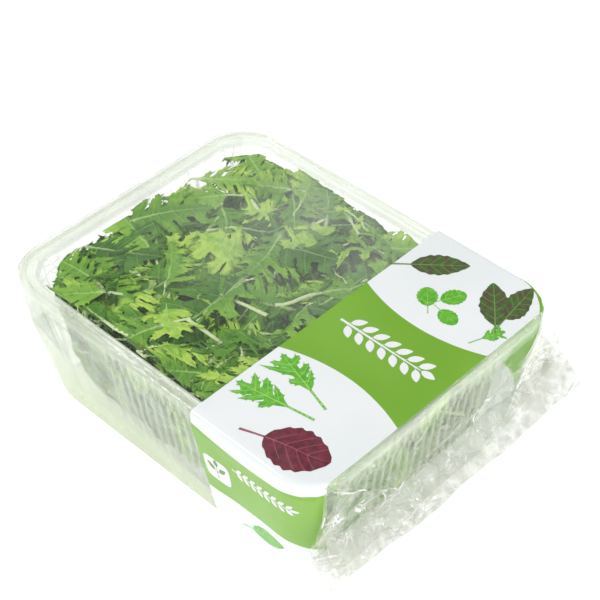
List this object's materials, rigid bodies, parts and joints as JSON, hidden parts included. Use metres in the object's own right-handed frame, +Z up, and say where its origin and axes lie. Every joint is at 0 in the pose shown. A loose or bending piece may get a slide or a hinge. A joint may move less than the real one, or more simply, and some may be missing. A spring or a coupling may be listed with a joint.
{
  "type": "packed tray of mizuna leaves",
  "caption": "Loose, deeply cut mizuna leaves heaped in a clear ribbed tray, closed in a clear film wrap with crimped end seals and a printed green and white band.",
  "frame": {"origin": "on the flat underside of the wrapped pack, under the middle of the tray, leaving out the end seals", "axes": "+X along the pack towards the printed half and the seal that stands out, +Z up through the heap of leaves, +Y to the pack's left seen from the standing seal's far side"},
  "size_m": [0.2444, 0.178, 0.085],
  "materials": {
    "leaf": "satin",
    "tray_plastic": "gloss",
    "clear_film": "gloss",
    "white_ink": "satin",
    "green_ink": "satin"
  },
  "bodies": {
    "root": {"mizuna_leaves": "leaf", "tray": "tray_plastic", "film_wrap": "clear_film", "print_white_band": "white_ink", "print_green_top": "green_ink", "print_green_front": "green_ink", "print_green_back": "green_ink"}
  },
  "joints": []
}
